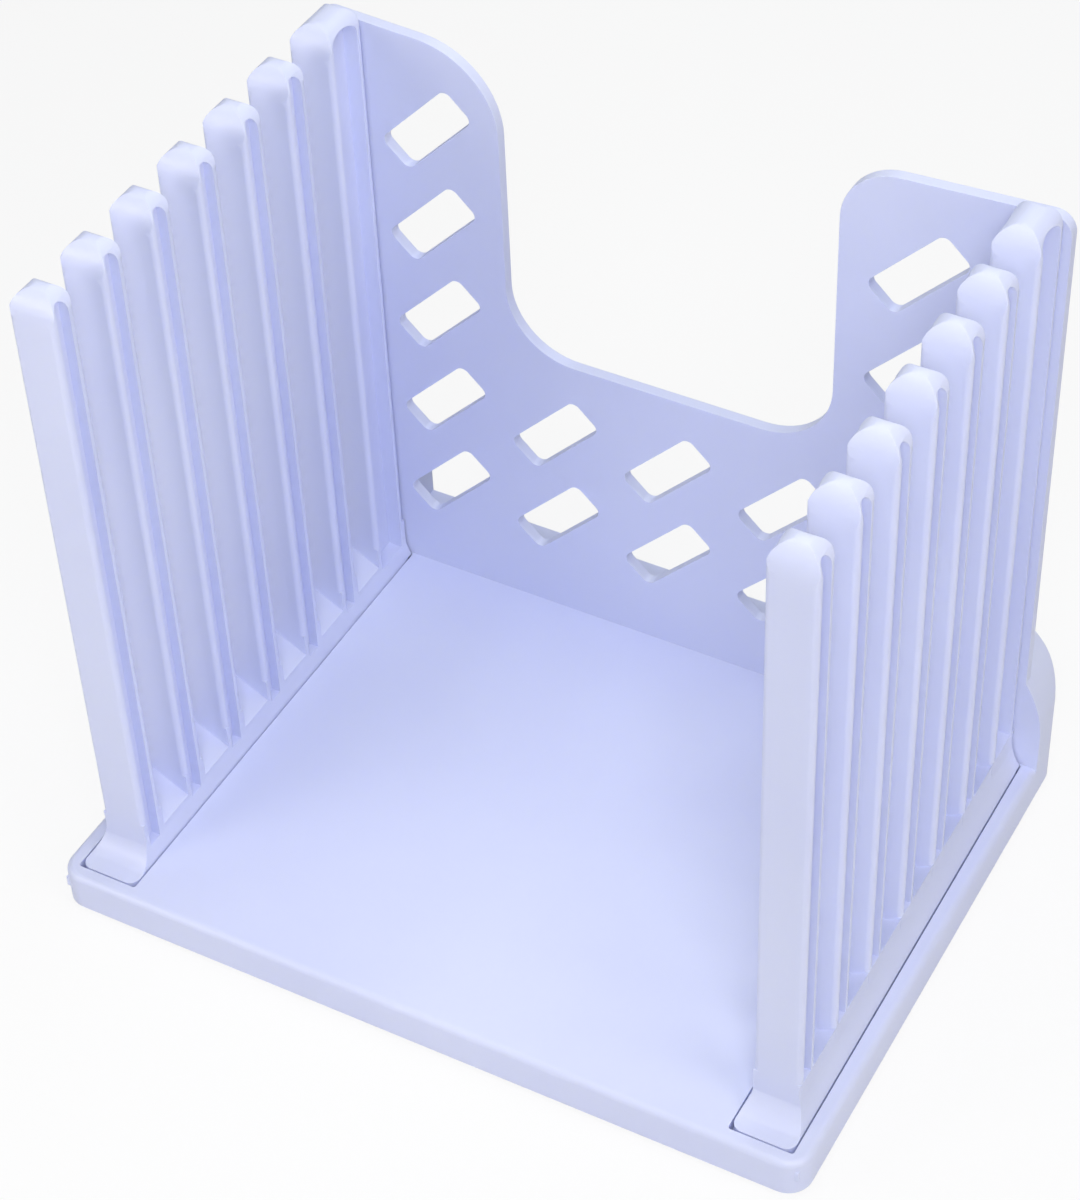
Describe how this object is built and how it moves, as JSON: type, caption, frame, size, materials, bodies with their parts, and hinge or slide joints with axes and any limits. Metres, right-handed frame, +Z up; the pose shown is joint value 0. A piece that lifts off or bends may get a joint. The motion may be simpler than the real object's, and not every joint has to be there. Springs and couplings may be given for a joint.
{
  "type": "bread slicer guide",
  "caption": "Free-standing bread slicer guide: a flat tray, comb walls whose gaps steer the knife, and a back wall with a hand cut-out and slanted slots.",
  "frame": {"origin": "on the table, under the middle of the tray", "axes": "+X across the loaf to the right as seen from the open front, +Y from the open front to the back wall, +Z up"},
  "size_m": [0.163, 0.1238, 0.1482],
  "materials": {
    "body": "satin moulded plastic, white with a cool tint",
    "grip": "matt soft grip"
  },
  "bodies": {
    "base": {"tray": "body", "grip_pad_front_left": "grip", "grip_pad_front_right": "grip", "grip_pad_rear_left": "grip", "grip_pad_rear_right": "grip"},
    "left_wall": {"left_guide_wall": "body"},
    "right_wall": {"right_guide_wall": "body"},
    "rear_wall": {"back_wall": "body"}
  },
  "joints": [
    {"name": "left_wall_lift", "type": "slide", "parent": "base", "child": "left_wall", "axis": [0, 0, 1], "range_m": [0, 0.007]},
    {"name": "right_wall_lift", "type": "slide", "parent": "base", "child": "right_wall", "axis": [0, 0, 1], "range_m": [0, 0.007]},
    {"name": "back_wall_lift", "type": "slide", "parent": "base", "child": "rear_wall", "axis": [0, 0, 1], "range_m": [0, 0.007]}
  ]
}
